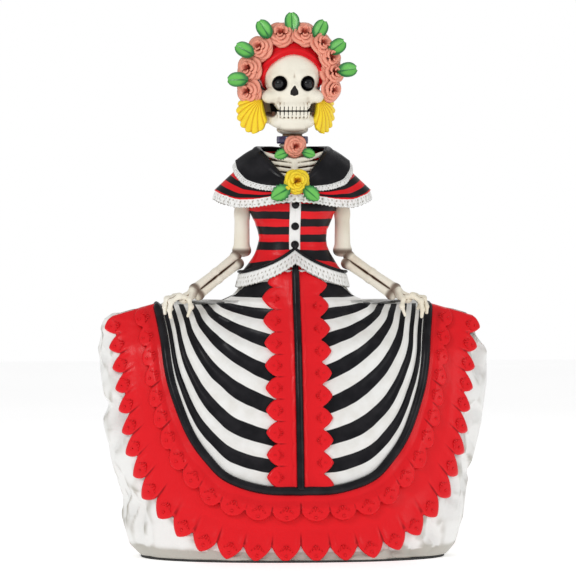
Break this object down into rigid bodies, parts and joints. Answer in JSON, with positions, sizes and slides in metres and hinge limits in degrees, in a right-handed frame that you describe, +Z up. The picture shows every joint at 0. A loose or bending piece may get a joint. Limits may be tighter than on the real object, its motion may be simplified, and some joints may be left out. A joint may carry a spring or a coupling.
{
  "type": "catrina figure",
  "caption": "Standing skeleton lady in a wide ruffled dress, lifting her skirt with both hands, with a crown of roses and a flat resting face",
  "frame": {"origin": "on the resting face, under the middle of the skirt's outline", "axes": "+Z up, -Y towards the front of the figure, +X to the viewer's right"},
  "size_m": [0.2212, 0.1134, 0.305],
  "materials": {
    "felt": "short wool felt",
    "board": "bare pine and plywood, out of sight",
    "steel": "plain wire and screw steel, out of sight",
    "white_paint": "crumpled paper shell in satin white enamel, slightly grey in the creases",
    "striped_paint": "smooth paper in glossy white enamel with glossy black stripes",
    "red_enamel": "moulded paper pulp in glossy red enamel",
    "black_enamel": "moulded paper pulp in glossy black enamel",
    "banded_enamel": "moulded paper pulp in glossy red enamel with black bands",
    "bone": "paper pulp in cream with a brown antique wash in the hollows, satin varnish",
    "navy_enamel": "glossy navy enamel",
    "coral_paint": "paper pulp in coral with a dark red wash between the petals",
    "green_paint": "paper pulp in green, lighter at the midrib",
    "yellow_paint": "paper pulp in yellow with an orange-brown wash"
  },
  "bodies": {
    "root": {"felt_pad": "felt", "base_board": "board", "post_screw": "steel", "centre_post": "board", "waist_disc": "board", "neck_wire": "steel", "arm_wire": "steel", "petticoat_shell": "white_paint", "skirt_panel_front": "striped_paint", "skirt_panel_back": "striped_paint", "lower_flounce_front": "red_enamel", "lower_flounce_back": "red_enamel", "upper_flounce_front": "red_enamel", "upper_flounce_back": "red_enamel", "hem_piping_front": "black_enamel", "hem_piping_back": "black_enamel", "placket_lace_left": "red_enamel", "placket_lace_right": "red_enamel", "placket_cord": "black_enamel", "peplum_lace": "white_paint", "bodice": "banded_enamel", "button_band": "white_paint", "buttons": "black_enamel", "rib_cage": "bone", "neck_bones": "bone", "choker": "navy_enamel", "choker_rose": "coral_paint", "choker_leaves": "green_paint", "cape": "banded_enamel", "cape_lace": "white_paint", "collar": "black_enamel", "collar_lace": "white_paint", "brooch_rose": "yellow_paint", "brooch_leaves": "green_paint", "skull": "bone", "jaw": "bone", "eye_beads": "black_enamel", "headscarf": "red_enamel", "hair": "black_enamel", "earring_left": "yellow_paint", "earring_right": "yellow_paint", "humerus_left": "bone", "humerus_right": "bone", "radius_left": "bone", "radius_right": "bone", "ulna_left": "bone", "ulna_right": "bone", "hand_left": "bone", "hand_right": "bone", "crown_leaves": "green_paint", "crown_rose_1": "coral_paint", "crown_rose_2": "coral_paint", "crown_rose_3": "coral_paint", "crown_rose_4": "coral_paint", "crown_rose_5": "coral_paint", "crown_rose_6": "coral_paint", "crown_rose_7": "coral_paint", "crown_rose_8": "coral_paint", "crown_rose_9": "coral_paint"}
  },
  "joints": []
}
